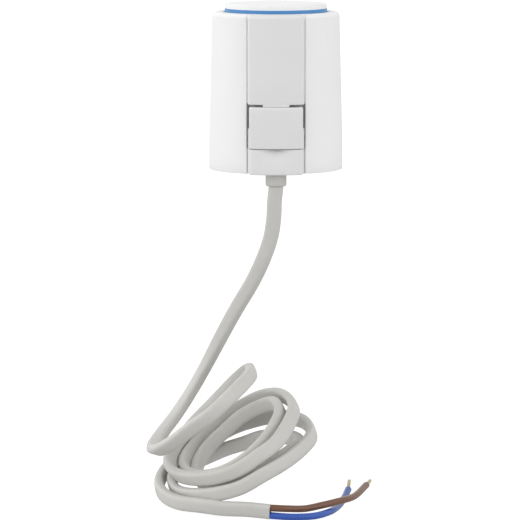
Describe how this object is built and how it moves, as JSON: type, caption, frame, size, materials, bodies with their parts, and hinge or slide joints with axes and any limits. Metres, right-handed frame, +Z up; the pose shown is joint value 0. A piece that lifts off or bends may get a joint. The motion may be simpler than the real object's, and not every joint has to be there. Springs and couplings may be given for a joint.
{
  "type": "electrothermal valve actuator",
  "caption": "Cylindrical clip-on electrothermal valve actuator with a raised function indicator, a release button on the front column and a flat two-core lead in loose coils.",
  "frame": {"origin": "centre of the valve socket's mouth, on the bottom face", "axes": "+Z up along the valve axis, from the socket to the function indicator; -Y towards the front column with the release button; +X to the right seen from the front"},
  "size_m": [0.0758, 0.0603, 0.1685],
  "materials": {
    "housing_white": "fine satin moulded ABS",
    "cover_grey": "fine satin, a shade darker than the housing",
    "inner_plastic": "natural glass-filled polyamide",
    "cap_white": "fine satin",
    "indicator_blue": "satin",
    "seal_rubber": "soft",
    "spring_steel": "drawn wire",
    "steel_plate": "rolled and stamped",
    "insulator": "amber high-temperature polymer",
    "heater_ceramic": "sintered, dull",
    "contact_brass": "turned and stamped",
    "plunger_grey": "smooth",
    "inner_lead_red": "silicone-insulated lead",
    "lead_sheath": "extruded PVC, soft sheen",
    "core_brown": "extruded PVC",
    "core_blue": "extruded PVC",
    "bare_strands": "twisted strands"
  },
  "bodies": {
    "actuator": {"housing": "housing_white", "front_cover": "cover_grey", "base_plate": "inner_plastic", "base_seal": "seal_rubber", "indicator_seal": "seal_rubber", "chassis": "inner_plastic", "bridge": "steel_plate", "insulating_cup": "insulator", "ptc_heater": "heater_ceramic", "lower_contact": "contact_brass", "upper_contact": "contact_brass", "wax_cylinder": "contact_brass", "wax_diaphragm": "seal_rubber", "wax_guide": "contact_brass", "connector_plug": "inner_plastic", "crimp_contacts": "contact_brass", "left_lead": "inner_lead_red", "right_lead": "inner_lead_red", "left_core": "core_brown", "right_core": "core_blue", "cable_gland": "cover_grey", "main_spring": "spring_steel", "left_latch_spring": "spring_steel", "right_latch_spring": "spring_steel", "cable_sheath": "lead_sheath", "brown_core": "core_brown", "blue_core": "core_blue", "brown_strands": "bare_strands", "blue_strands": "bare_strands"},
    "lift": {"lift_yoke": "inner_plastic", "plunger": "plunger_grey", "wax_piston": "steel_plate", "indicator_ring": "indicator_blue", "indicator_cap": "cap_white"},
    "release": {"release_button": "cover_grey", "latch_slide": "inner_plastic"}
  },
  "joints": [
    {"name": "indicator_lift", "type": "slide", "parent": "actuator", "child": "lift", "axis": [0, 0, 1], "range_m": [-0.004, 0], "deforming": ["main_spring"]},
    {"name": "button_press", "type": "slide", "parent": "actuator", "child": "release", "axis": [0, 1, 0], "range_m": [0, 0.0016], "stiffness_N_per_m": 600, "springref_m": -0.001, "deforming": ["left_latch_spring", "right_latch_spring"]}
  ]
}
